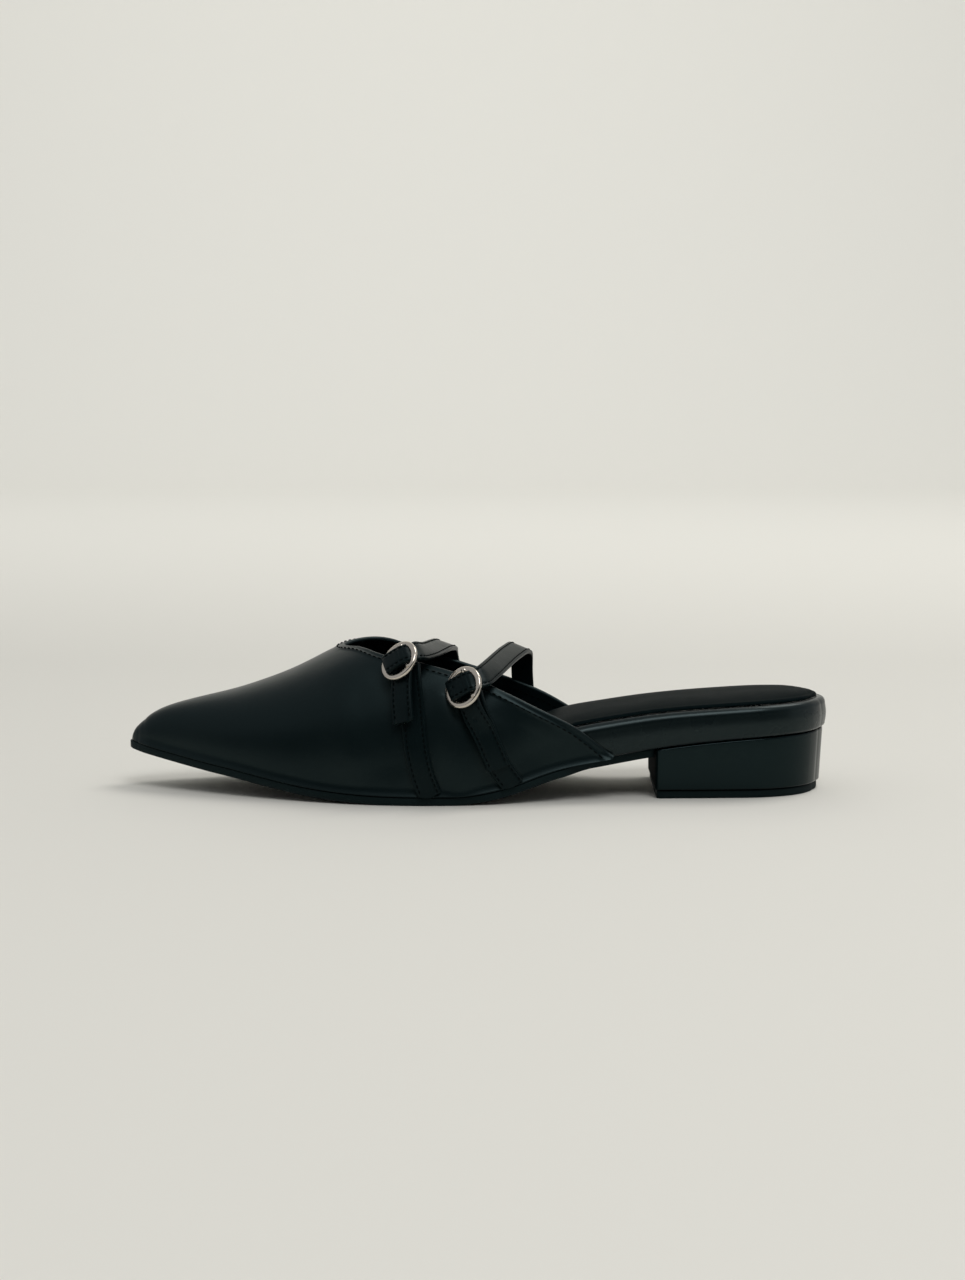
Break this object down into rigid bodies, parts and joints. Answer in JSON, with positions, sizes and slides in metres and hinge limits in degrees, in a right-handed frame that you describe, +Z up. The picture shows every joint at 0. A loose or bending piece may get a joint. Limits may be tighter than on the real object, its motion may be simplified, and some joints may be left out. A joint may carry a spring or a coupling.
{
  "type": "kitten heel",
  "caption": "Low pointed backless shoe for the left foot, with a low block heel and crossing straps held by round ring buckles.",
  "frame": {"origin": "middle of the shoe's box, on the floor that the sole and the heel stand on", "axes": "+X from the toe to the heel, +Y from the outer side, which has the buckles, to the inner side, +Z up"},
  "size_m": [0.2644, 0.0818, 0.0589],
  "materials": {
    "upper_leather": "smooth, soft sheen",
    "strap_leather": "smooth, soft sheen, stitched along both edges",
    "footbed_wrap": "smooth wrapped edge",
    "sock": "soft, padded",
    "sole_board": "matte",
    "heel_gloss": "high gloss",
    "lift_rubber": "matte",
    "buckle_metal": "polished, silver-coloured"
  },
  "bodies": {
    "root": {"outsole": "sole_board", "footbed": "footbed_wrap", "insole_sock": "sock", "heel_block": "heel_gloss", "top_lift": "lift_rubber", "upper": "upper_leather", "front_strap": "strap_leather", "front_anchor": "strap_leather", "front_buckle": "buckle_metal", "rear_strap": "strap_leather", "rear_anchor": "strap_leather", "rear_buckle": "buckle_metal"}
  },
  "joints": []
}
